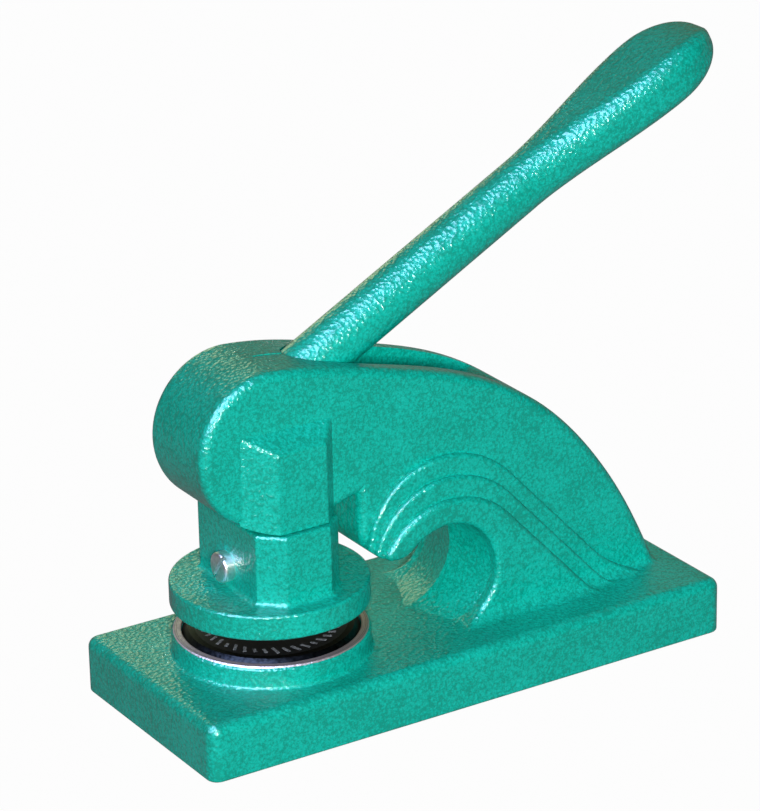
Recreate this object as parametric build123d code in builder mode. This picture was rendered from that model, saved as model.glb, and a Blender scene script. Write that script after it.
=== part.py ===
# Desk embossing press: cast frame, hand lever, guided ram and a pair of dies.
# Millimetres, +Z up. The origin lies on the die axis at the underside of the base.
import os
from math import cos, radians, sin, sqrt, tan

from build123d import *

os.makedirs("parts", exist_ok=True)

# Base plate
base_front = 40.5
base_back = 130.5
base_width = 72.0
base_height = 16.7
base_corner_radius = 3.5
base_edge_radius = 3.0
base_foot_radius = 0.8

# Die holder cast on the base
holder_radius = 28.1
holder_top = 23.3
holder_root_radius = 1.0
holder_rim = 1.0
heel_root_radius = 2.0
band_root_radius = 4.0

# Frame cheeks
cheek_half = 14.5
cheek_edge_radius = 2.6
nose_x = -5.7
nose_radius = 22.5
crown_x = 28.0
crown_z = 98.1
shoulder_x = 59.0
shoulder_z = 88.8
hip_x = 84.2
hip_z = 73.9
tail_x = 103.0
tail_z = 53.0
heel_x = 122.5
crown_fall = 0.05
heel_lean = 0.42
frame_root_z = 8.0

# Underside of the head, notch, lip and throat
head_bottom = 59.6
notch_front_x = 11.6
notch_top = 62.8
lip_front_x = 21.3
lip_radius = 8.8
throat_x = 46.8
throat_z = 32.4
throat_radius = 16.2
throat_low_z = 16.3

# Draft of the throat wall, which meets in a ridge on the middle plane
ridge_x = 42.1
ridge_z = 34.3
ridge_radius = 17.7
ridge_overlap = 1.0
ridge_relief = 0.4
ridge_margin = 0.3

# Stepped bands around the throat
band_count = 3
band_step = 1.9
band_crest_x = 47.8
band_crest_z = 68.0
band_pitch = 5.95
band_crest_radius = 25.0
band_radius_step = 1.8
band_slope = 47.5
band_wrap = 20.0
band_foot_radius = 40.0
band_foot_z = 27.0
band_foot_turn = 27.0
band_corner_radius = 1.5
band_edge_radius = 1.0
throat_edge_radius = 1.6
rim_margin = 0.1

# Guide boss on both cheeks
boss_half = 20.0
boss_face_front = -7.7
boss_face_back = 7.7
boss_face_top = 83.0
boss_root_front = -16.9
boss_root_back = 13.2
boss_root_top = 88.2
boss_root_sink = 0.5
boss_corner_radius = 1.2
boss_edge_radius = 0.8

# Lever slot
slot_half = 8.75
slot_mouth_x = 22.0
mouth_reach = 44.0
mouth_play = 0.7
seam_half = 0.5
seam_front_x = -3.0
seam_back_x = 12.0
seam_bottom_z = 102.0
slot_floor_front_x = 11.0
slot_floor_front_z = 74.0
slot_floor_back_x = 74.0
slot_floor_back_z = 81.6
eye_clearance = 1.5

# Pivot
pivot_x = -13.3
pivot_z = 83.2
pivot_radius = 4.0
pivot_play = 0.04
pivot_blind_half = 12.0
pivot_end_half = 18.0
pivot_screw_y = 11.6
grub_radius = 2.0
grub_length = 6.0
grub_play = 0.05
grub_socket_radius = 1.0
grub_socket_depth = 2.0

# Lever
lever_angle = 28.3
lever_travel = 20.0
lever_half = 8.2
eye_radius = 8.5
shaft_radius = 7.6
paddle_start = 111.0
paddle_round = 164.0
lever_length = 183.3
paddle_half_width = 13.4
paddle_half_thickness = 7.4
paddle_corner = 5.0
shaft_flat = 0.3
spread_sections = 6
tip_sections = 6
tip_turn = 84.0
toe_radius = 6.0
toe_half = 7.0
toe_z = 86.2
toe_gap = 0.2

# Ram
ram_half_x = 13.3
ram_half_y = 21.9
ram_corner = 6.2
flange_radius = 28.2
flange_bottom = 31.4
flange_top = 38.7
flange_edge_radius = 0.8
ram_root_radius = 1.5
ram_edge_radius = 0.9
ram_rest_gap = 0.3
stem_radius = 5.5
spigot_radius = 1.8
spigot_height = 3.0
cap_radius = 7.0
cap_height = 1.8
cap_edge_radius = 0.4
button_radius = 3.0
button_height = 3.0
press_play = 0.02

# Ram guides
bush_radius = 9.0
bush_play = 0.04
bush_length = 5.4
chamber_radius = 7.8
chamber_top = 80.5
guide_pin_radius = 3.0
guide_pin_y = 14.5
guide_pin_bottom = 48.0
guide_pin_top = 74.0
guide_play = 0.05
guide_end_gap = 2.0
washer_height = 1.0
washer_play = 0.3

# Return spring
spring_mean_radius = 6.7
spring_wire_radius = 0.6
spring_turns = 2.5

# Dies
die_radius = 25.0
die_recess_radius = 25.3
die_bevel = 1.6
land_radius = 20.5
land_bevel = 0.6
paper_gap = 0.3
lower_die_top = 23.9
lower_recess_depth = 3.2
upper_recess_depth = 2.5
hub_radius = 7.0
hub_play = 0.05
hub_bottom = 10.0
shank_radius = 6.0
shank_top = 52.0
plate_radius = 18.5
counter_radius = 21.5
plate_thickness = 1.2
dowel_radius = 1.5
dowel_x = 15.0
dowel_reach = 2.2
dowel_end_gap = 0.2

# Die screws
screw_radius = 3.0
screw_head_radius = 4.4
screw_head_height = 3.2
screw_slot_width = 1.3
screw_slot_depth = 1.3
screw_slot_turn = 35.0
upper_screw_z = 44.8
thread_play = 0.05
lower_screw_seat = 5.5
lower_screw_well_radius = 5.2
lower_screw_top = 17.0
screw_end_gap = 0.5

# Worked out from the driving sizes
nose_z = head_bottom + nose_radius
axis_x = cos(radians(lever_angle))
axis_z = sin(radians(lever_angle))
lip_x = lip_front_x + lip_radius
lip_span = lip_radius + throat_radius
lip_z = throat_z + sqrt(lip_span**2 - (throat_x - lip_x) ** 2)
blend_x = lip_x + (throat_x - lip_x) * lip_radius / lip_span
blend_z = lip_z + (throat_z - lip_z) * lip_radius / lip_span
lever_swing = radians(lever_travel)
toe_arm = -pivot_x
toe_rise = toe_z - pivot_z
ram_stroke = toe_rise + toe_arm * sin(lever_swing) - toe_rise * cos(lever_swing)
ram_top = head_bottom - ram_rest_gap
cap_top = toe_z - toe_radius - toe_gap
cap_bottom = cap_top - button_height - cap_height
bush_top = head_bottom + bush_length
washer_top = bush_top + washer_height
upper_die_face = lower_die_top + paper_gap + ram_stroke
upper_seat = flange_bottom + upper_recess_depth
lower_seat = holder_top - lower_recess_depth
side = Plane.XZ


def octagon(half_x, half_y, corner):
    """Closed outline of a rectangle with 45 degree corners."""
    x_in = half_x - corner
    y_in = half_y - corner
    Polyline(
        (x_in, -half_y),
        (half_x, -y_in),
        (half_x, y_in),
        (x_in, half_y),
        (-x_in, half_y),
        (-half_x, y_in),
        (-half_x, -y_in),
        (-x_in, -half_y),
        close=True,
    )


def cheek_outline():
    """Side outline of the C-frame from nose to heel and back along the throat."""
    nose_top = (nose_x, nose_z + nose_radius)
    top = Spline(
        nose_top,
        (crown_x, crown_z),
        (shoulder_x, shoulder_z),
        (hip_x, hip_z),
        (tail_x, tail_z),
        (heel_x, base_height),
        tangents=((1, -crown_fall), (heel_lean, -1)),
    )
    throat_low_x = throat_x + sqrt(throat_radius**2 - (throat_z - throat_low_z) ** 2)
    Polyline(
        top @ 1,
        (heel_x, frame_root_z),
        (throat_low_x, frame_root_z),
        (throat_low_x, throat_low_z),
    )
    throat_back = (throat_x + throat_radius, throat_z)
    ThreePointArc((throat_low_x, throat_low_z), throat_back, (blend_x, blend_z))
    lip_bottom = (lip_x, lip_z - lip_radius)
    ThreePointArc((blend_x, blend_z), lip_bottom, (lip_front_x, lip_z))
    Polyline(
        (lip_front_x, lip_z),
        (lip_front_x, notch_top),
        (notch_front_x, head_bottom),
        (nose_x, nose_z - nose_radius),
    )
    ThreePointArc((nose_x, nose_z - nose_radius), (nose_x - nose_radius, nose_z), nose_top)


def under_band(index):
    """Area below one band line: crest arc, sloping tail and flat foot."""
    crest_z = band_crest_z - index * band_pitch
    crest = (band_crest_x, crest_z)
    wrap = JernArc(crest, (-1, 0), band_crest_radius, 90 + band_wrap)
    shoulder_radius = band_crest_radius + (band_count - index) * band_radius_step
    shoulder = JernArc(crest, (1, 0), shoulder_radius, -band_slope)
    left = wrap @ 1
    bend = shoulder @ 1
    foot_z = band_foot_z - index * band_pitch
    fall = tan(radians(band_slope))
    foot_x = bend.X + (bend.Y - foot_z) / fall
    Line(bend, (foot_x, foot_z))
    foot = JernArc((foot_x, foot_z), (1, -fall), band_foot_radius, band_foot_turn)
    Polyline(foot @ 1, ((foot @ 1).X, 0), (left.X, 0), left)


def root_edges(part):
    """Edges where a plate stands on the flat top of the base."""
    flat = part.edges().filter_by(lambda edge: edge.bounding_box().size.Z < rim_margin)
    flat = flat.filter_by(lambda edge: abs(edge.center().Z - base_height) < rim_margin)
    inner_width = base_width - 2 * base_corner_radius
    return flat.filter_by(lambda edge: edge.bounding_box().size.Y < inner_width - rim_margin
                          and abs(edge.center().Y) < inner_width / 2)


def lever_plane(reach):
    """Plane across the lever at a distance from its pivot."""
    centre = (pivot_x + axis_x * reach, 0, pivot_z + axis_z * reach)
    return Plane(origin=centre, x_dir=(0, 1, 0), z_dir=(axis_x, 0, axis_z))


# Frame casting
with BuildPart() as base_plate:
    with BuildSketch(Plane.XY):
        with Locations(((base_back - base_front) / 2, 0)):
            RectangleRounded(base_front + base_back, base_width, base_corner_radius)
    extrude(amount=base_height)
    fillet(base_plate.edges().group_by(Axis.Z)[-1], base_edge_radius)
    fillet(base_plate.edges().group_by(Axis.Z)[0], base_foot_radius)

with BuildPart() as cheek_plate:
    with BuildSketch(side):
        with BuildLine():
            cheek_outline()
        make_face()
    extrude(amount=cheek_half, both=True)
    fillet(cheek_plate.faces().filter_by(Axis.Y).edges(), cheek_edge_radius)

band_parts = []
for index in range(band_count):
    reach = cheek_half + (index + 1) * band_step
    with BuildPart() as band:
        with BuildSketch(side) as band_side:
            with BuildLine():
                cheek_outline()
            make_face()
            with BuildLine():
                under_band(index)
            make_face(mode=Mode.INTERSECT)
            fillet(band_side.vertices().sort_by(Axis.X)[0], band_corner_radius)
        extrude(amount=reach, both=True)
        add(base_plate.part)
        fillet(root_edges(band), band_root_radius)
        rim = band.edges().filter_by(lambda edge: abs(edge.center().Y) > reach - rim_margin)
        rim = rim.filter_by(lambda edge: edge.bounding_box().size.Y < rim_margin
                            and edge.center().Z > base_height)
        fillet(rim, throat_edge_radius if index == band_count - 1 else band_edge_radius)
    band_parts.append(band.part)

with BuildPart() as throat_ridge:
    ridge_half = cheek_half + band_count * band_step - throat_edge_radius - ridge_margin
    with BuildSketch(side):
        with Locations((throat_x, throat_z)):
            Circle(throat_radius + ridge_overlap)
        with Locations((ridge_x + ridge_radius, throat_z)):
            Rectangle(2 * ridge_radius, 3 * ridge_radius, mode=Mode.INTERSECT)
    extrude(amount=ridge_half, both=True)
    for way in (-1, 1):
        with BuildSketch(side):
            with Locations((ridge_x, ridge_z)):
                Circle(ridge_radius)
        with BuildSketch(side.offset(way * ridge_half)):
            with Locations((throat_x, throat_z)):
                Circle(throat_radius + ridge_relief)
        loft(ruled=True, mode=Mode.SUBTRACT)

with BuildPart() as boss:
    with BuildSketch(side.offset(boss_half)) as boss_face:
        with BuildLine():
            Polyline(
                (boss_face_front, head_bottom),
                (boss_face_back, head_bottom),
                (boss_face_back, boss_face_top),
                (boss_face_front, boss_face_top),
                close=True,
            )
        make_face()
        fillet(boss_face.vertices().group_by(Axis.Y)[-1], boss_corner_radius)
    with BuildSketch(side.offset(cheek_half - boss_root_sink)) as boss_root:
        with BuildLine():
            Polyline(
                (boss_root_front, head_bottom),
                (boss_root_back, head_bottom),
                (boss_root_back, boss_root_top),
                (boss_root_front, boss_root_top),
                close=True,
            )
        make_face()
        fillet(boss_root.vertices().group_by(Axis.Y)[-1], boss_corner_radius)
    loft(ruled=True)
    mirror(about=side)
    with BuildSketch(side):
        with Locations((nose_x, nose_z)):
            Circle(nose_radius)
        with Locations((nose_x, head_bottom)):
            Rectangle(boss_half * 2, nose_radius * 2, align=(Align.MIN, Align.MIN))
    extrude(amount=boss_half, both=True, mode=Mode.INTERSECT)
    outer = boss.faces().filter_by(Axis.Y).group_by(Axis.Y)
    outline = outer[0].edges() + outer[-1].edges()
    fillet(outline.filter_by(lambda edge: edge.center().Z > head_bottom + rim_margin), boss_edge_radius)

with BuildPart() as frame_casting:
    add(base_plate.part)
    with BuildSketch(Plane.XY.offset(base_height - base_edge_radius)):
        Circle(holder_radius)
    extrude(amount=holder_top - base_height + base_edge_radius)
    chamfer(frame_casting.edges().group_by(Axis.Z)[-1], holder_rim)
    add(cheek_plate.part)
    fillet(root_edges(frame_casting).filter_by(lambda edge: edge.center().X > holder_radius),
           heel_root_radius)
    for band_part in band_parts:
        add(band_part)
    add(throat_ridge.part)
    add(boss.part)
    level = frame_casting.edges().filter_by(lambda edge: abs(edge.center().Z - base_height) < rim_margin)
    fillet(level.filter_by(lambda edge: edge.length > holder_radius * 6), holder_root_radius)
    # Lever slot with room for the lever eye
    with BuildSketch(side):
        with BuildLine():
            Polyline(
                (slot_mouth_x, nose_z + nose_radius * 2),
                (slot_mouth_x, pivot_z + (slot_mouth_x - pivot_x) * tan(radians(lever_angle))),
                (pivot_x, pivot_z),
                (pivot_x, slot_floor_front_z),
                (slot_floor_front_x, slot_floor_front_z),
                (slot_floor_back_x, slot_floor_back_z),
                (slot_floor_back_x, nose_z + nose_radius * 2),
                close=True,
            )
        make_face()
        with Locations((pivot_x, pivot_z)):
            Circle(eye_radius + eye_clearance)
    extrude(amount=slot_half, both=True, mode=Mode.SUBTRACT)
    # Round mouth around the raised lever and the casting seam in front of it
    with BuildSketch(lever_plane(0)):
        Circle(shaft_radius + mouth_play)
    extrude(amount=mouth_reach, mode=Mode.SUBTRACT)
    with BuildSketch(Plane.XY.offset(seam_bottom_z)):
        with Locations((seam_front_x, 0)):
            Rectangle(seam_back_x - seam_front_x, 2 * seam_half, align=(Align.MIN, Align.CENTER))
    extrude(amount=nose_radius, mode=Mode.SUBTRACT)
    # Bores for the ram, its guides and the pivot
    with BuildSketch(Plane.XY.offset(head_bottom)):
        Circle(bush_radius + press_play)
    extrude(amount=bush_length, mode=Mode.SUBTRACT)
    with BuildSketch(Plane.XY.offset(head_bottom)):
        Circle(chamber_radius)
    extrude(amount=chamber_top - head_bottom, mode=Mode.SUBTRACT)
    with BuildSketch(Plane.XY.offset(head_bottom)):
        with Locations((0, guide_pin_y), (0, -guide_pin_y)):
            Circle(guide_pin_radius + guide_play)
    extrude(amount=guide_pin_top + guide_end_gap - head_bottom, mode=Mode.SUBTRACT)
    with BuildSketch(side.offset(-boss_half)):
        with Locations((pivot_x, pivot_z)):
            Circle(pivot_radius + press_play)
    extrude(amount=boss_half + pivot_blind_half, mode=Mode.SUBTRACT)
    with BuildSketch(Plane.XY.offset(head_bottom)):
        with Locations((pivot_x, pivot_screw_y)):
            Circle(grub_radius + grub_play)
    extrude(amount=pivot_z - head_bottom, mode=Mode.SUBTRACT)
    # Seat, hub bore, dowel hole and screw well of the lower die
    with BuildSketch(Plane.XY.offset(lower_seat)):
        Circle(die_recess_radius)
    extrude(amount=lower_recess_depth, mode=Mode.SUBTRACT)
    with BuildSketch(Plane.XY.offset(hub_bottom)):
        Circle(hub_radius + hub_play)
    extrude(amount=lower_seat - hub_bottom, mode=Mode.SUBTRACT)
    with BuildSketch(Plane.XY.offset(lower_seat - dowel_reach)):
        with Locations((dowel_x, 0)):
            Circle(dowel_radius + press_play)
    extrude(amount=dowel_reach, mode=Mode.SUBTRACT)
    with BuildSketch(Plane.XY):
        Circle(lower_screw_well_radius)
    extrude(amount=lower_screw_seat, mode=Mode.SUBTRACT)
    with BuildSketch(Plane.XY.offset(lower_screw_seat)):
        Circle(screw_radius + thread_play)
    extrude(amount=hub_bottom - lower_screw_seat, mode=Mode.SUBTRACT)
frame_casting.part.label = "frame_casting"
export_step(frame_casting.part, "parts/frame_casting.step")

# Hand lever: round shaft that spreads into a flattened paddle
with BuildPart() as hand_lever:
    with BuildSketch(lever_plane(0)):
        RectangleRounded(2 * shaft_radius, 2 * shaft_radius, shaft_radius - shaft_flat)
    extrude(amount=paddle_start)
    for index in range(spread_sections + 1):
        share = index / spread_sections
        spread = share * share * (3 - 2 * share)
        half_width = shaft_radius + (paddle_half_width - shaft_radius) * spread
        half_thickness = shaft_radius + (paddle_half_thickness - shaft_radius) * spread
        corner = shaft_radius - shaft_flat + (paddle_corner - shaft_radius + shaft_flat) * spread
        with BuildSketch(lever_plane(paddle_start + (paddle_round - paddle_start) * share)):
            RectangleRounded(2 * half_width, 2 * half_thickness, corner)
    for index in range(1, tip_sections + 1):
        turn = radians(tip_turn * index / tip_sections)
        with BuildSketch(lever_plane(paddle_round + (lever_length - paddle_round) * sin(turn))):
            RectangleRounded(
                2 * paddle_half_width * cos(turn),
                2 * paddle_half_thickness * cos(turn),
                paddle_corner * cos(turn),
            )
    loft()
    with BuildSketch(side):
        with Locations((pivot_x, pivot_z)):
            Circle(eye_radius)
    extrude(amount=lever_half, both=True)
    with BuildSketch(side):
        with Locations((0, toe_z)):
            Circle(toe_radius)
    extrude(amount=toe_half, both=True)
    with BuildSketch(side):
        with Locations((pivot_x, pivot_z)):
            Circle(pivot_radius + pivot_play)
    extrude(amount=boss_half, both=True, mode=Mode.SUBTRACT)
hand_lever.part.label = "hand_lever"
export_step(hand_lever.part, "parts/hand_lever.step")

# Pivot pin, slid in from the far cheek into a blind hole
with BuildPart() as pivot_pin:
    with BuildSketch(side.offset(-pivot_end_half)):
        with Locations((pivot_x, pivot_z)):
            Circle(pivot_radius)
    extrude(amount=pivot_end_half + pivot_blind_half)
    chamfer(pivot_pin.edges().group_by(Axis.Y)[-1], cap_edge_radius)
pivot_pin.part.label = "pivot_pin"
export_step(pivot_pin.part, "parts/pivot_pin.step")

# Grub screw that locks the pivot pin from below
with BuildPart() as pivot_grub_screw:
    grub_top = pivot_z - pivot_radius
    with BuildSketch(Plane.XY.offset(grub_top - grub_length)):
        with Locations((pivot_x, pivot_screw_y)):
            Circle(grub_radius)
    extrude(amount=grub_length)
    with BuildSketch(Plane.XY.offset(grub_top - grub_length)):
        with Locations((pivot_x, pivot_screw_y)):
            RegularPolygon(grub_socket_radius, 6)
    extrude(amount=grub_socket_depth, mode=Mode.SUBTRACT)
pivot_grub_screw.part.label = "pivot_grub_screw"
export_step(pivot_grub_screw.part, "parts/pivot_grub_screw.step")

# Ram: die flange, eight-sided block and round stem
with BuildPart() as ram_block:
    with BuildSketch(Plane.XY.offset(flange_bottom)):
        Circle(flange_radius)
    extrude(amount=flange_top - flange_bottom)
    fillet(ram_block.edges(), flange_edge_radius)
    with BuildSketch(Plane.XY.offset(flange_top - ram_root_radius)):
        with BuildLine():
            octagon(ram_half_x, ram_half_y, ram_corner)
        make_face()
    extrude(amount=ram_top - flange_top + ram_root_radius)
    upright = ram_block.edges().filter_by(Axis.Z).filter_by(lambda edge: edge.length > stem_radius)
    fillet(upright, ram_edge_radius)
    fillet(ram_block.edges().group_by(Axis.Z)[-1], ram_edge_radius)
    root = ram_block.edges().filter_by(lambda edge: abs(edge.center().Z - flange_top) < rim_margin)
    fillet(root.filter_by(lambda edge: abs(edge.center().X) < ram_half_x + rim_margin
                          and edge.length < flange_radius * 3), ram_root_radius)
    with BuildSketch(Plane.XY.offset(ram_top)):
        Circle(stem_radius)
    extrude(amount=cap_bottom - ram_top)
    with BuildSketch(Plane.XY.offset(cap_bottom)):
        Circle(spigot_radius)
    extrude(amount=spigot_height)
    with BuildSketch(Plane.XY.offset(flange_bottom)):
        Circle(die_recess_radius)
    extrude(amount=upper_recess_depth, mode=Mode.SUBTRACT)
    with BuildSketch(Plane.XY.offset(upper_seat)):
        Circle(shank_radius + hub_play)
    extrude(amount=shank_top + screw_end_gap - upper_seat, mode=Mode.SUBTRACT)
    with BuildSketch(Plane.XY.offset(upper_seat)):
        with Locations((dowel_x, 0)):
            Circle(dowel_radius + press_play)
    extrude(amount=dowel_reach + dowel_end_gap, mode=Mode.SUBTRACT)
    with BuildSketch(Plane.XY.offset(guide_pin_bottom)):
        with Locations((0, guide_pin_y), (0, -guide_pin_y)):
            Circle(guide_pin_radius + press_play)
    extrude(amount=ram_top - guide_pin_bottom, mode=Mode.SUBTRACT)
    with BuildSketch(Plane.YZ.offset(-ram_half_x)):
        with Locations((0, upper_screw_z)):
            Circle(screw_radius + thread_play)
    extrude(amount=ram_half_x, mode=Mode.SUBTRACT)
ram_block.part.label = "ram_block"
export_step(ram_block.part, "parts/ram_block.step")

# Two guide pins pressed into the ram
with BuildPart() as guide_pins:
    with BuildSketch(Plane.XY.offset(guide_pin_bottom)):
        with Locations((0, guide_pin_y), (0, -guide_pin_y)):
            Circle(guide_pin_radius)
    extrude(amount=guide_pin_top - guide_pin_bottom)
    chamfer(guide_pins.edges().group_by(Axis.Z)[-1], cap_edge_radius)
guide_pins.part.label = "guide_pins"
export_step(guide_pins.part, "parts/guide_pins.step")

# Bronze bush pressed into the head
with BuildPart() as guide_bush:
    with BuildSketch(Plane.XY.offset(head_bottom)):
        Circle(bush_radius)
        Circle(stem_radius + bush_play, mode=Mode.SUBTRACT)
    extrude(amount=bush_length)
guide_bush.part.label = "guide_bush"
export_step(guide_bush.part, "parts/guide_bush.step")

# Washer under the return spring
with BuildPart() as spring_washer:
    with BuildSketch(Plane.XY.offset(bush_top)):
        Circle(chamber_radius - washer_play)
        Circle(stem_radius + washer_play, mode=Mode.SUBTRACT)
    extrude(amount=washer_height)
spring_washer.part.label = "spring_washer"
export_step(spring_washer.part, "parts/spring_washer.step")

# Return spring around the stem
with BuildPart() as return_spring:
    spring_height = cap_bottom - washer_top - 2 * spring_wire_radius
    with BuildLine():
        coil = Helix(
            pitch=spring_height / spring_turns,
            height=spring_height,
            radius=spring_mean_radius,
            center=(0, 0, washer_top + spring_wire_radius),
        )
    with BuildSketch(Plane(origin=coil @ 0, z_dir=coil % 0)):
        Circle(spring_wire_radius)
    sweep(is_frenet=True)
return_spring.part.label = "return_spring"
export_step(return_spring.part, "parts/return_spring.step")

# Hardened cap on the stem, pressed by the lever toe
with BuildPart() as thrust_cap:
    with BuildSketch(Plane.XY.offset(cap_bottom)):
        Circle(cap_radius)
    extrude(amount=cap_height)
    with BuildSketch(Plane.XY.offset(cap_bottom + cap_height)):
        Circle(button_radius)
    extrude(amount=button_height)
    fillet(thrust_cap.edges().group_by(Axis.Z)[-1], cap_edge_radius)
    with BuildSketch(Plane.XY.offset(cap_bottom)):
        Circle(spigot_radius + press_play)
    extrude(amount=spigot_height, mode=Mode.SUBTRACT)
thrust_cap.part.label = "thrust_cap"
export_step(thrust_cap.part, "parts/thrust_cap.step")

# Upper die with its shank
with BuildPart() as upper_die:
    with BuildSketch(Plane.XY.offset(flange_bottom)):
        Circle(die_radius)
    extrude(amount=upper_recess_depth)
    with BuildSketch(Plane.XY.offset(upper_die_face)):
        Circle(land_radius)
    extrude(amount=flange_bottom - upper_die_face)
    chamfer(upper_die.edges().group_by(Axis.Z)[0], land_bevel)
    with BuildSketch(Plane.XY.offset(upper_seat)):
        Circle(shank_radius)
    extrude(amount=shank_top - upper_seat)
    with BuildSketch(Plane.XY.offset(upper_die_face)):
        Circle(plate_radius + press_play)
    extrude(amount=plate_thickness, mode=Mode.SUBTRACT)
    with BuildSketch(Plane.XY.offset(upper_seat - dowel_reach)):
        with Locations((dowel_x, 0)):
            Circle(dowel_radius + press_play)
    extrude(amount=dowel_reach, mode=Mode.SUBTRACT)
upper_die.part.label = "upper_die"
export_step(upper_die.part, "parts/upper_die.step")

# Lower die with its hub
with BuildPart() as lower_die:
    with BuildSketch(Plane.XY.offset(lower_seat)):
        Circle(die_radius)
    extrude(amount=lower_die_top - lower_seat)
    chamfer(lower_die.edges().group_by(Axis.Z)[-1], die_bevel)
    with BuildSketch(Plane.XY.offset(hub_bottom)):
        Circle(hub_radius)
    extrude(amount=lower_seat - hub_bottom)
    with BuildSketch(Plane.XY.offset(lower_die_top - plate_thickness)):
        Circle(counter_radius + press_play)
    extrude(amount=plate_thickness, mode=Mode.SUBTRACT)
    with BuildSketch(Plane.XY.offset(hub_bottom)):
        Circle(screw_radius + thread_play)
    extrude(amount=lower_screw_top + screw_end_gap - hub_bottom, mode=Mode.SUBTRACT)
    with BuildSketch(Plane.XY.offset(lower_seat)):
        with Locations((dowel_x, 0)):
            Circle(dowel_radius + press_play)
    extrude(amount=dowel_reach + dowel_end_gap, mode=Mode.SUBTRACT)
lower_die.part.label = "lower_die"
export_step(lower_die.part, "parts/lower_die.step")

# Embossing plate let into the upper die and its counter plate in the lower die
with BuildPart() as upper_die_plate:
    with BuildSketch(Plane.XY.offset(upper_die_face)):
        Circle(plate_radius)
    extrude(amount=plate_thickness)
upper_die_plate.part.label = "upper_die_plate"
export_step(upper_die_plate.part, "parts/upper_die_plate.step")

with BuildPart() as lower_counter_plate:
    with BuildSketch(Plane.XY.offset(lower_die_top - plate_thickness)):
        Circle(counter_radius)
    extrude(amount=plate_thickness)
lower_counter_plate.part.label = "lower_counter_plate"
export_step(lower_counter_plate.part, "parts/lower_counter_plate.step")

# Dowels that stop the dies from turning
with BuildPart() as upper_die_dowel:
    with BuildSketch(Plane.XY.offset(upper_seat - dowel_reach)):
        with Locations((dowel_x, 0)):
            Circle(dowel_radius)
    extrude(amount=dowel_reach * 2)
upper_die_dowel.part.label = "upper_die_dowel"
export_step(upper_die_dowel.part, "parts/upper_die_dowel.step")

with BuildPart() as lower_die_dowel:
    with BuildSketch(Plane.XY.offset(lower_seat - dowel_reach)):
        with Locations((dowel_x, 0)):
            Circle(dowel_radius)
    extrude(amount=dowel_reach * 2)
lower_die_dowel.part.label = "lower_die_dowel"
export_step(lower_die_dowel.part, "parts/lower_die_dowel.step")

# Slotted screw in the front of the ram, holding the upper die
with BuildPart() as upper_die_screw:
    with BuildSketch(Plane.YZ.offset(-ram_half_x)):
        with Locations((0, upper_screw_z)):
            Circle(screw_radius)
    extrude(amount=ram_half_x - shank_radius)
    with BuildSketch(Plane.YZ.offset(-ram_half_x)):
        with Locations((0, upper_screw_z)):
            Circle(screw_head_radius)
    extrude(amount=-screw_head_height)
    fillet(upper_die_screw.edges().group_by(Axis.X)[0], ram_edge_radius)
    with BuildSketch(Plane.YZ.offset(-ram_half_x - screw_head_height)):
        with Locations((0, upper_screw_z)):
            Rectangle(screw_slot_width, screw_head_radius * 2, rotation=screw_slot_turn)
    extrude(amount=screw_slot_depth, mode=Mode.SUBTRACT)
upper_die_screw.part.label = "upper_die_screw"
export_step(upper_die_screw.part, "parts/upper_die_screw.step")

# Screw from below, holding the lower die
with BuildPart() as lower_die_screw:
    with BuildSketch(Plane.XY.offset(lower_screw_seat)):
        Circle(screw_radius)
    extrude(amount=lower_screw_top - lower_screw_seat)
    with BuildSketch(Plane.XY.offset(lower_screw_seat)):
        Circle(screw_head_radius)
    extrude(amount=-screw_head_height)
    with BuildSketch(Plane.XY.offset(lower_screw_seat - screw_head_height)):
        Rectangle(screw_slot_width, screw_head_radius * 2)
    extrude(amount=screw_slot_depth, mode=Mode.SUBTRACT)
lower_die_screw.part.label = "lower_die_screw"
export_step(lower_die_screw.part, "parts/lower_die_screw.step")
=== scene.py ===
import math

import bpy
from mathutils import Matrix, Vector


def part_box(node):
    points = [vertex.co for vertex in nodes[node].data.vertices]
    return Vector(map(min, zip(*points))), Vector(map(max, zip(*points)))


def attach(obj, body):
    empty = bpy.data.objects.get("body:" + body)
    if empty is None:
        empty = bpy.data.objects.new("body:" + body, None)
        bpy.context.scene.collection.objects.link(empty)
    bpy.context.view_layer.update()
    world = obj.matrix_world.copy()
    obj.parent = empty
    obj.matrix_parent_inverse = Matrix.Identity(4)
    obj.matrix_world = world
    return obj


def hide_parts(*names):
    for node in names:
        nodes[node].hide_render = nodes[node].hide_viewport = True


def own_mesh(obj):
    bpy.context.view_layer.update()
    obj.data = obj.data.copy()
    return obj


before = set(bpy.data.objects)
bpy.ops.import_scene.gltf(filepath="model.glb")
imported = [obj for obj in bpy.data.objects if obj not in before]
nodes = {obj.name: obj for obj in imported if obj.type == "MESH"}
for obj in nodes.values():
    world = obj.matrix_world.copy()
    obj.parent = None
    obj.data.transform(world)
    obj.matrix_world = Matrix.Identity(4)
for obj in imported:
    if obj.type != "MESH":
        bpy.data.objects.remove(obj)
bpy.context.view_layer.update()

# Frame: grey iron, sand cast in one piece as base, die holder and two-cheeked C-frame.
# It is sprayed with hammertone enamel, which dries into shallow dimples with a wet shine.
# The top of the die holder is turned after painting and shows bare iron.


def linear(code):
    """Linear colour of an sRGB hex code."""
    parts = [int(code[place:place + 2], 16) / 255 for place in (1, 3, 5)]
    bent = [part / 12.92 if part <= 0.04045 else ((part + 0.055) / 1.055) ** 2.4 for part in parts]
    return (*bent, 1.0)


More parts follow.
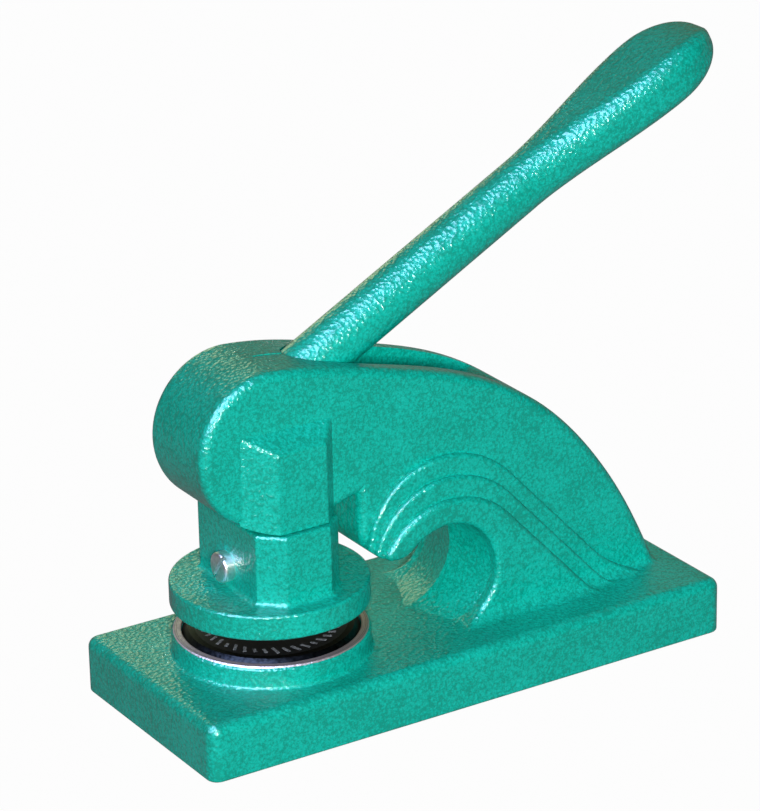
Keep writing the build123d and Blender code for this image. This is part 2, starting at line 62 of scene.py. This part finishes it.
def add_node(tree, kind, settings=None, links=None, stops=()):
    """Adds a node, sets its properties and inputs, links inputs to outputs, and sets a ramp's stops."""
    made = tree.nodes.new(kind)
    for name, value in (settings or {}).items():
        if isinstance(name, int) or name in made.inputs:
            made.inputs[name].default_value = value
        else:
            setattr(made, name, value)
    for name, source in (links or {}).items():
        tree.links.new(source, made.inputs[name])
    if stops:
        points = made.color_ramp.elements
        while len(points) < len(stops):
            points.new(0.5)
        for point, (place, code) in zip(points, stops):
            point.position = place
            point.color = linear(code)
    return made


def new_material(name):
    """Empty material, ready for its nodes."""
    made = bpy.data.materials.new(name)
    made.use_nodes = True
    made.node_tree.nodes.clear()
    return made


def dress(names, material):
    """Puts one material on each named piece of the frame."""
    for name in names:
        slots = nodes[name].data.materials
        slots.clear()
        slots.append(material)


dimple_mm = 1.1
fleck_mm = 0.5
cloud_mm = 14.0
dimple_depth_mm = 0.4
dimple_smoothness = 0.7
dimple_in_tone = 0.45
cloud_in_tone = 0.35
fleck_in_relief = 0.25
film_relief = 0.35
shine_relief = 0.75
flake_share = 0.08
paint_ior = 1.45
paint_gloss = 0.15
paint_roughness = 0.5
lacquer_share = 0.8
lacquer_roughness = 0.16
paint_dark = "#009B88"
paint_mid = "#00B5A2"
paint_light = "#10C6B6"


def hammertone(tree, place):
    """Colour of hammertone enamel, and the normals of its flecked film and of the dimpled shine on it."""
    warp = add_node(tree, "ShaderNodeTexNoise", {"Scale": 1000 / dimple_mm / 2, "Detail": 2.0},
                    {"Vector": place})
    shift = add_node(tree, "ShaderNodeVectorMath", {"operation": "SCALE", "Scale": dimple_mm / 1000},
                     {0: warp.outputs["Color"]})
    moved = add_node(tree, "ShaderNodeVectorMath", {"operation": "ADD"},
                     {0: place, 1: shift.outputs["Vector"]})
    dimple = add_node(tree, "ShaderNodeTexVoronoi",
                      {"feature": "SMOOTH_F1", "Scale": 1000 / dimple_mm, "Smoothness": dimple_smoothness},
                      {"Vector": moved.outputs["Vector"]})
    fleck = add_node(tree, "ShaderNodeTexNoise", {"Scale": 1000 / fleck_mm, "Detail": 2.0, "Roughness": 0.6},
                     {"Vector": moved.outputs["Vector"]})
    cloud = add_node(tree, "ShaderNodeTexNoise", {"Scale": 1000 / cloud_mm, "Detail": 3.0},
                     {"Vector": place})
    mottle = add_node(tree, "ShaderNodeMath", {"operation": "MULTIPLY_ADD", 1: dimple_in_tone},
                      {0: dimple.outputs["Distance"], 2: fleck.outputs["Fac"]})
    tone = add_node(tree, "ShaderNodeMath", {"operation": "MULTIPLY_ADD", 1: cloud_in_tone},
                    {0: cloud.outputs["Fac"], 2: mottle.outputs["Value"]})
    colour = add_node(tree, "ShaderNodeValToRGB", links={"Fac": tone.outputs["Value"]},
                      stops=[(0.55, paint_light), (0.85, paint_mid), (1.0, paint_dark)])
    height = add_node(tree, "ShaderNodeMath", {"operation": "MULTIPLY_ADD", 1: fleck_in_relief},
                      {0: fleck.outputs["Fac"], 2: dimple.outputs["Distance"]})
    film = add_node(tree, "ShaderNodeBump", {"Strength": film_relief, "Distance": dimple_depth_mm / 1000},
                    {"Height": height.outputs["Value"]})
    shine = add_node(tree, "ShaderNodeBump", {"Strength": shine_relief, "Distance": dimple_depth_mm / 1000},
                     {"Height": height.outputs["Value"]})
    return colour.outputs["Color"], film.outputs["Normal"], shine.outputs["Normal"]


die_stand = 0.0006
holder_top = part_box("lower_die")[1].z - die_stand
holder_radius = 0.0277
ring_fray = 0.0004
ring_fray_mm = 2.5
ring_depth = 0.00105
# The marks of turning are finer than this, and are drawn coarse enough to show.
ring_turning_mm = 0.4
bare_metallic = 0.8
turned_iron_light = "#C9BAB4"
turned_iron_dark = "#978882"


def painted_casting(name):
    """Hammertone enamel with the bare turned ring on top of the die holder."""
    made = new_material(name)
    tree = made.node_tree
    place = add_node(tree, "ShaderNodeTexCoord").outputs["Object"]
    colour, film, shine = hammertone(tree, place)
    split = add_node(tree, "ShaderNodeSeparateXYZ", links={"Vector": place})
    flat = add_node(tree, "ShaderNodeCombineXYZ", links={"X": split.outputs["X"], "Y": split.outputs["Y"]})
    radius = add_node(tree, "ShaderNodeVectorMath", {"operation": "LENGTH"}, {0: flat.outputs["Vector"]})
    fray = add_node(tree, "ShaderNodeTexNoise", {"Scale": 1000 / ring_fray_mm, "Detail": 3.0},
                    {"Vector": place})
    edge = add_node(tree, "ShaderNodeMath", {"operation": "MULTIPLY_ADD", 1: ring_fray},
                    {0: fray.outputs["Fac"], 2: radius.outputs["Value"]})
    inside = add_node(tree, "ShaderNodeMath", {"operation": "LESS_THAN", 1: holder_radius},
                      {0: edge.outputs["Value"]})
    level = add_node(tree, "ShaderNodeMath", {"operation": "COMPARE", 1: holder_top, 2: ring_depth},
                     {0: split.outputs["Z"]})
    bare = add_node(tree, "ShaderNodeMath", {"operation": "MULTIPLY"},
                    {0: inside.outputs["Value"], 1: level.outputs["Value"]})
    turning = add_node(tree, "ShaderNodeTexNoise",
                       {"noise_dimensions": "1D", "Scale": 1000 / ring_turning_mm, "Detail": 2.0},
                       {"W": radius.outputs["Value"]})
    iron = add_node(tree, "ShaderNodeValToRGB", links={"Fac": turning.outputs["Fac"]},
                    stops=[(0.35, turned_iron_dark), (0.65, turned_iron_light)])
    skin = add_node(tree, "ShaderNodeMix", {"data_type": "RGBA"},
                    {"Factor": bare.outputs["Value"], 6: colour, 7: iron.outputs["Color"]})
    metal = add_node(tree, "ShaderNodeMapRange", {"To Min": flake_share, "To Max": bare_metallic},
                     {"Value": bare.outputs["Value"]})
    lacquer = add_node(tree, "ShaderNodeMapRange", {"To Min": lacquer_share, "To Max": 0.0},
                       {"Value": bare.outputs["Value"]})
    shader = add_node(tree, "ShaderNodeBsdfPrincipled",
                      {"IOR": paint_ior, "Roughness": paint_roughness, "Specular IOR Level": paint_gloss,
                       "Coat Roughness": lacquer_roughness},
                      {"Base Color": skin.outputs[2], "Metallic": metal.outputs["Result"],
                       "Coat Weight": lacquer.outputs["Result"], "Normal": film, "Coat Normal": shine})
    add_node(tree, "ShaderNodeOutputMaterial", links={"Surface": shader.outputs["BSDF"]})
    return made


dress(["frame_casting"], painted_casting("hammertone_on_frame_casting"))

# Hand lever and ram: iron castings in the same hammertone enamel as the frame.
# The lever turns on a pin between the cheeks, and its round shaft spreads into a flattened paddle.
# The ram is guided in the head and carries the upper die.


def hammertone_enamel(name):
    """Green hammertone enamel over a casting: a mottled metallic film under a dimpled clear shine."""
    made = new_material(name)
    tree = made.node_tree
    place = add_node(tree, "ShaderNodeTexCoord").outputs["Object"]
    colour, film, shine = hammertone(tree, place)
    shader = add_node(tree, "ShaderNodeBsdfPrincipled",
                      {"IOR": paint_ior, "Metallic": flake_share, "Roughness": paint_roughness,
                       "Specular IOR Level": paint_gloss, "Coat Weight": lacquer_share,
                       "Coat Roughness": lacquer_roughness},
                      {"Base Color": colour, "Normal": film, "Coat Normal": shine})
    add_node(tree, "ShaderNodeOutputMaterial", links={"Surface": shader.outputs["BSDF"]})
    return made


dress(["hand_lever", "ram_block"], hammertone_enamel("hammertone_enamel"))

# Small steel pieces: pivot pin, grub screw, guide pins, washer, thrust cap, dowels and lower die screw.
# They are turned from bright bar, which leaves a soft and slightly uneven shine.
# The marks of turning are finer than drawn here, because they would not show.
turning_mm = 1.0
turning_depth_mm = 0.03
turning_relief = 0.3
shine_spread = 0.08
steel_roughness = 0.28
steel_light = "#C9CBCD"
steel_dark = "#8E9093"


def turned_metal(name, light, dark, roughness):
    """Turned metal with a fine unevenness in colour, shine and relief."""
    made = new_material(name)
    tree = made.node_tree
    place = add_node(tree, "ShaderNodeTexCoord").outputs["Object"]
    streak = add_node(tree, "ShaderNodeTexNoise", {"Scale": 1000 / turning_mm, "Detail": 4.0},
                      {"Vector": place})
    colour = add_node(tree, "ShaderNodeValToRGB", links={"Fac": streak.outputs["Fac"]},
                      stops=[(0.3, dark), (0.7, light)])
    rough = add_node(tree, "ShaderNodeMapRange",
                     {"To Min": roughness - shine_spread, "To Max": roughness + shine_spread},
                     {"Value": streak.outputs["Fac"]})
    bump = add_node(tree, "ShaderNodeBump",
                    {"Strength": turning_relief, "Distance": turning_depth_mm / 1000},
                    {"Height": streak.outputs["Fac"]})
    shader = add_node(tree, "ShaderNodeBsdfPrincipled", {"Metallic": 1.0},
                      {"Base Color": colour.outputs["Color"], "Roughness": rough.outputs["Result"],
                       "Normal": bump.outputs["Normal"]})
    add_node(tree, "ShaderNodeOutputMaterial", links={"Surface": shader.outputs["BSDF"]})
    return made


bright_steel = turned_metal("turned_steel", steel_light, steel_dark, steel_roughness)
dress(["pivot_pin", "pivot_grub_screw", "guide_pins", "spring_washer", "thrust_cap",
       "upper_die_dowel", "lower_die_dowel", "lower_die_screw"], bright_steel)

# Return spring: two and a half turns of steel wire around the ram's stem, standing on its washer.
# It is wound here as a tube along a helix.
dress(["return_spring"], bright_steel)
spring_low, spring_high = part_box("return_spring")
wire_radius = 0.0006
spring_turns = 2.5
spring_radius = spring_high.x - wire_radius
spring_height = spring_high.z - spring_low.z
coil_steps = 120
wire_sides = 10
rise = spring_height - 2 * wire_radius
points = []
for step in range(coil_steps + 1):
    share = step / coil_steps
    turn = share * spring_turns * math.tau
    outward = Vector((math.cos(turn), math.sin(turn), 0))
    middle = outward * spring_radius + Vector((0, 0, spring_low.z + wire_radius + rise * share))
    for side in range(wire_sides):
        angle = side / wire_sides * math.tau
        points.append(middle + (outward * math.cos(angle) + Vector((0, 0, math.sin(angle)))) * wire_radius)
faces = [list(range(wire_sides)), list(range(len(points) - 1, len(points) - 1 - wire_sides, -1))]
for step in range(coil_steps):
    for side in range(wire_sides):
        corner = step * wire_sides + side
        beside = step * wire_sides + (side + 1) % wire_sides
        faces.append([corner, corner + wire_sides, beside + wire_sides, beside])
spring_mesh = bpy.data.meshes.new("wound_spring")
spring_mesh.from_pydata(points, [], faces)
spring_mesh.shade_smooth()
spring_mesh.materials.append(bright_steel)
spring = bpy.data.objects.new("wound_spring", spring_mesh)
bpy.context.scene.collection.objects.link(spring)
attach(spring, "frame")
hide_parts("return_spring")
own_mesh(spring)

# Upper die screw: slotted screw in the front of the ram, where it holds the upper die.
# It is steel with nickel plate, which shows paler and a little warmer than bright steel.
nickel_roughness = 0.34
nickel_light = "#F4F1EC"
nickel_dark = "#D2CEC8"
dress(["upper_die_screw"], turned_metal("nickel_plate", nickel_light, nickel_dark, nickel_roughness))

# Guide bush and embossing plate: the bush is turned from bronze and pressed into the head.
# The plate is let into the face of the upper die, and has the same warm metal.
bronze_roughness = 0.32
bronze_light = "#C79A55"
bronze_dark = "#8F6A33"
dress(["guide_bush", "upper_die_plate"],
      turned_metal("turned_bronze", bronze_light, bronze_dark, bronze_roughness))

# Dies: two turned steel discs, the upper held in the ram and the lower in the holder.
# They are blackened in hot oil, which leaves them nearly black with a soft gleam on their rims.
black_roughness = 0.38
black_light = "#2A2C30"
black_dark = "#0D0E10"
dress(["upper_die", "lower_die"], turned_metal("blackened_steel", black_light, black_dark, black_roughness))

# Counter plate: moulded black plastic let into the lower die, with a ring of raised plain strokes.
# The strokes are worn grey where the dies have met.
grain_mm = 0.8
grain_depth_mm = 0.03
grain_relief = 0.2
plastic_ior = 1.5
plastic_roughness = 0.42
plastic_light = "#1B1D20"
plastic_dark = "#0B0C0E"
worn_light = "#8E949C"
worn_dark = "#565B62"


def moulded(name, light, dark):
    """Moulded plastic with a faint grain."""
    made = new_material(name)
    tree = made.node_tree
    place = add_node(tree, "ShaderNodeTexCoord").outputs["Object"]
    grain = add_node(tree, "ShaderNodeTexNoise", {"Scale": 1000 / grain_mm, "Detail": 3.0},
                     {"Vector": place})
    colour = add_node(tree, "ShaderNodeValToRGB", links={"Fac": grain.outputs["Fac"]},
                      stops=[(0.35, dark), (0.65, light)])
    bump = add_node(tree, "ShaderNodeBump", {"Strength": grain_relief, "Distance": grain_depth_mm / 1000},
                    {"Height": grain.outputs["Fac"]})
    shader = add_node(tree, "ShaderNodeBsdfPrincipled", {"IOR": plastic_ior, "Roughness": plastic_roughness},
                      {"Base Color": colour.outputs["Color"], "Normal": bump.outputs["Normal"]})
    add_node(tree, "ShaderNodeOutputMaterial", links={"Surface": shader.outputs["BSDF"]})
    return made


dress(["lower_counter_plate"], moulded("moulded_black", plastic_light, plastic_dark))
worn = moulded("worn_stroke", worn_light, worn_dark)
stroke_count = 40
stroke_ring_radius = 0.0185
stroke_size = Vector((0.0030, 0.0009, 0.00016))
stroke_slant = math.radians(24)
stroke_shortest = 0.6
stroke_longest = 1.25
stroke_seed = 7
plate_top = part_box("lower_counter_plate")[1].z

strokes_tree = bpy.data.node_groups.new("stroke_ring", "GeometryNodeTree")
wanted = {"Count": ("NodeSocketInt", stroke_count), "Ring Radius": ("NodeSocketFloat", stroke_ring_radius),
          "Stroke Size": ("NodeSocketVector", stroke_size), "Slant": ("NodeSocketFloat", stroke_slant),
          "Seed": ("NodeSocketInt", stroke_seed), "Height": ("NodeSocketVector", Vector((0, 0, plate_top)))}
sockets = {name: strokes_tree.interface.new_socket(name, in_out="INPUT", socket_type=kind)
           for name, (kind, value) in wanted.items()}
strokes_tree.interface.new_socket("Geometry", in_out="OUTPUT", socket_type="NodeSocketGeometry")
given = add_node(strokes_tree, "NodeGroupInput").outputs
ring = add_node(strokes_tree, "GeometryNodeMeshCircle",
                links={"Vertices": given["Count"], "Radius": given["Ring Radius"]})
stroke = add_node(strokes_tree, "GeometryNodeMeshCube", links={"Size": given["Stroke Size"]})
index = add_node(strokes_tree, "GeometryNodeInputIndex").outputs["Index"]
ring_share = add_node(strokes_tree, "ShaderNodeMath", {"operation": "DIVIDE"}, {0: index, 1: given["Count"]})
stroke_turn = add_node(strokes_tree, "ShaderNodeMath", {"operation": "MULTIPLY_ADD", 1: math.tau},
                       {0: ring_share.outputs["Value"], 2: given["Slant"]})
stroke_way = add_node(strokes_tree, "ShaderNodeCombineXYZ", links={"Z": stroke_turn.outputs["Value"]})
length = add_node(strokes_tree, "FunctionNodeRandomValue", {2: stroke_shortest, 3: stroke_longest},
                  {"Seed": given["Seed"]})
stretch = add_node(strokes_tree, "ShaderNodeCombineXYZ", {"Y": 1.0, "Z": 1.0}, {"X": length.outputs[1]})
placed = add_node(strokes_tree, "GeometryNodeInstanceOnPoints", links={
    "Points": ring.outputs["Mesh"], "Instance": stroke.outputs["Mesh"],
    "Rotation": stroke_way.outputs["Vector"], "Scale": stretch.outputs["Vector"]})
whole = add_node(strokes_tree, "GeometryNodeRealizeInstances",
                 links={"Geometry": placed.outputs["Instances"]})
lifted = add_node(strokes_tree, "GeometryNodeTransform",
                  links={"Geometry": whole.outputs["Geometry"], "Translation": given["Height"]})
dressed = add_node(strokes_tree, "GeometryNodeSetMaterial", {"Material": worn},
                   {"Geometry": lifted.outputs["Geometry"]})
add_node(strokes_tree, "NodeGroupOutput", links={"Geometry": dressed.outputs["Geometry"]})

strokes = bpy.data.objects.new("stroke_ring", bpy.data.meshes.new("stroke_ring"))
bpy.context.scene.collection.objects.link(strokes)
maker = strokes.modifiers.new("stroke_ring", "NODES")
maker.node_group = strokes_tree
for name, (kind, value) in wanted.items():
    maker[sockets[name].identifier] = value
depsgraph = bpy.context.evaluated_depsgraph_get()
plain_mesh = bpy.data.meshes.new_from_object(strokes.evaluated_get(depsgraph), depsgraph=depsgraph)
strokes.modifiers.clear()
strokes.data = plain_mesh
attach(strokes, "frame")

# Floor: a plain, matt studio table on which the press stands.
# The camera sees it white with the press's faint shadow, and shiny pieces mirror it dimly.
floor_half = 6.0
table_glow = 0.98
table_mirror_share = 0.15
table_matt = "#606060"
table_white = "#FFFFFF"
corners = [(-floor_half, -floor_half, 0), (floor_half, -floor_half, 0),
           (floor_half, floor_half, 0), (-floor_half, floor_half, 0)]
floor_mesh = bpy.data.meshes.new("floor")
floor_mesh.from_pydata(corners, [], [(0, 1, 2, 3)])
floor = bpy.data.objects.new("floor", floor_mesh)
bpy.context.scene.collection.objects.link(floor)
table = new_material("white_table")
table_tree = table.node_tree
table_path = add_node(table_tree, "ShaderNodeLightPath").outputs
table_mirrored = add_node(table_tree, "ShaderNodeMath", {"operation": "MULTIPLY", 1: table_mirror_share},
                          {0: table_path["Is Glossy Ray"]})
table_seen = add_node(table_tree, "ShaderNodeMath", {"operation": "MAXIMUM"},
                      {0: table_path["Is Camera Ray"], 1: table_path["Is Transmission Ray"]})
table_shown = add_node(table_tree, "ShaderNodeMath", {"operation": "MAXIMUM"},
                       {0: table_seen.outputs["Value"], 1: table_mirrored.outputs["Value"]})
glow = add_node(table_tree, "ShaderNodeMath", {"operation": "MULTIPLY", 1: table_glow},
                {0: table_shown.outputs["Value"]})
matt = add_node(table_tree, "ShaderNodeBsdfDiffuse", {"Color": linear(table_matt)})
white = add_node(table_tree, "ShaderNodeEmission", {"Color": linear(table_white), "Strength": 1.0})
table_mix = add_node(table_tree, "ShaderNodeMixShader", links={
    0: glow.outputs["Value"], 1: matt.outputs["BSDF"], 2: white.outputs["Emission"]})
add_node(table_tree, "ShaderNodeOutputMaterial", links={"Surface": table_mix.outputs["Shader"]})
floor_mesh.materials.append(table)

# Studio surround: the camera sees it white. As a light it is dim, and shiny pieces mirror a pale
# backdrop behind the press and a darker room in front of it.
fill_strength = 0.02
room_strength = 0.05
backdrop_strength = 0.3
backdrop_way = (0.528, 0.849, 0.0)
backdrop_start = 0.3
backdrop_full = 0.8
backdrop_tint = "#EEFFC4"
surround_white = "#FFFFFF"
world = bpy.data.worlds.new("white_studio")
bpy.context.scene.world = world
world.use_nodes = True
sky = world.node_tree
sky.nodes.clear()
sky_path = add_node(sky, "ShaderNodeLightPath").outputs
way = add_node(sky, "ShaderNodeTexCoord").outputs["Generated"]
facing = add_node(sky, "ShaderNodeVectorMath", {"operation": "DOT_PRODUCT", 1: backdrop_way}, {0: way})
sky_mirrored = add_node(sky, "ShaderNodeMapRange",
                        {"From Min": backdrop_start, "From Max": backdrop_full,
                         "To Min": room_strength, "To Max": backdrop_strength},
                        {"Value": facing.outputs["Value"]})
dim = add_node(sky, "ShaderNodeMix", {2: fill_strength},
               {"Factor": sky_path["Is Glossy Ray"], 3: sky_mirrored.outputs["Result"]})
sky_seen = add_node(sky, "ShaderNodeMath", {"operation": "MAXIMUM"},
                    {0: sky_path["Is Camera Ray"], 1: sky_path["Is Transmission Ray"]})
strength = add_node(sky, "ShaderNodeMix", {3: 1.0},
                    {"Factor": sky_seen.outputs["Value"], 2: dim.outputs[0]})
tint = add_node(sky, "ShaderNodeMix",
                {"data_type": "RGBA", 6: linear(surround_white), 7: linear(backdrop_tint)},
                {"Factor": sky_path["Is Glossy Ray"]})
surround = add_node(sky, "ShaderNodeBackground",
                    links={"Color": tint.outputs[2], "Strength": strength.outputs[0]})
add_node(sky, "ShaderNodeOutputWorld", links={"Surface": surround.outputs["Background"]})

# Camera: the photograph's place and lens, with its slight roll.
# It looks down at the front left corner of the base from about a metre away.
target = Vector((0.03736, 0.0, 0.08059))
azimuth = math.radians(-31.89)
elevation = math.radians(22.13)
roll = math.radians(-1.18)
distance = 1.0735
lens_mm = 170.8
back = Vector((math.sin(azimuth) * math.cos(elevation), -math.cos(azimuth) * math.cos(elevation),
               math.sin(elevation)))
level_right = (-back).cross(Vector((0, 0, 1))).normalized()
level_up = level_right.cross(-back)
right = level_right * math.cos(roll) + level_up * math.sin(roll)
up = level_up * math.cos(roll) - level_right * math.sin(roll)
camera_data = bpy.data.cameras.new("camera")
camera_data.lens = lens_mm
camera = bpy.data.objects.new("camera", camera_data)
turned = Matrix((right, up, back)).transposed().to_4x4()
camera.matrix_world = Matrix.Translation(target + back * distance) @ turned
bpy.context.scene.collection.objects.link(camera)
bpy.context.scene.camera = camera

# Lamps: a soft box at the camera and another low behind the press for its far side.
# A wide bluish screen over the camera's left shoulder and a small card behind the press
# only show as a sheen on the wet paint.
key_distance = 1.3
key_lift = Vector((0.05, -0.03, -0.08))
key_size = 0.22
key_power = 18.6
far_side = Vector((-back.x, -back.y, 0)).normalized()
far_lift = Vector((0, 0, -0.02))
far_size = 0.3
far_power = 18.0
screen_way = Vector((-0.62, -0.25, 0.74))
screen_size = 1.1
screen_power = 75.0
screen_tint = "#B8CBFF"
card_place = Vector((0.12, 0.50, 0.20))
card_aim = Vector((-0.06, 0, 0.0167))
card_size = 0.2
card_power = 0.26


def soft_box(name, place, aim, size, power):
    """Square soft box at a place, aimed at a point."""
    data = bpy.data.lights.new(name, "AREA")
    data.size = size
    data.energy = power
    made = bpy.data.objects.new(name, data)
    aimed = (aim - place).to_track_quat("-Z", "Y").to_matrix().to_4x4()
    made.matrix_world = Matrix.Translation(place) @ aimed
    bpy.context.scene.collection.objects.link(made)
    return made


soft_box("key", target + back * key_distance + key_lift, target, key_size, key_power)
far_lamp = soft_box("far_side", target + far_side * key_distance + far_lift, target, far_size, far_power)
far_lamp.visible_glossy = False
screen = soft_box("sheen_screen", target + screen_way * key_distance, target, screen_size, screen_power)
screen.data.color = linear(screen_tint)[:3]
screen.visible_diffuse = False
card = soft_box("back_card", card_place, card_aim, card_size, card_power)
card.data.color = linear(backdrop_tint)[:3]
card.visible_diffuse = False
card.visible_camera = False

# View: plain display colours.
bpy.context.scene.view_settings.view_transform = "Standard"
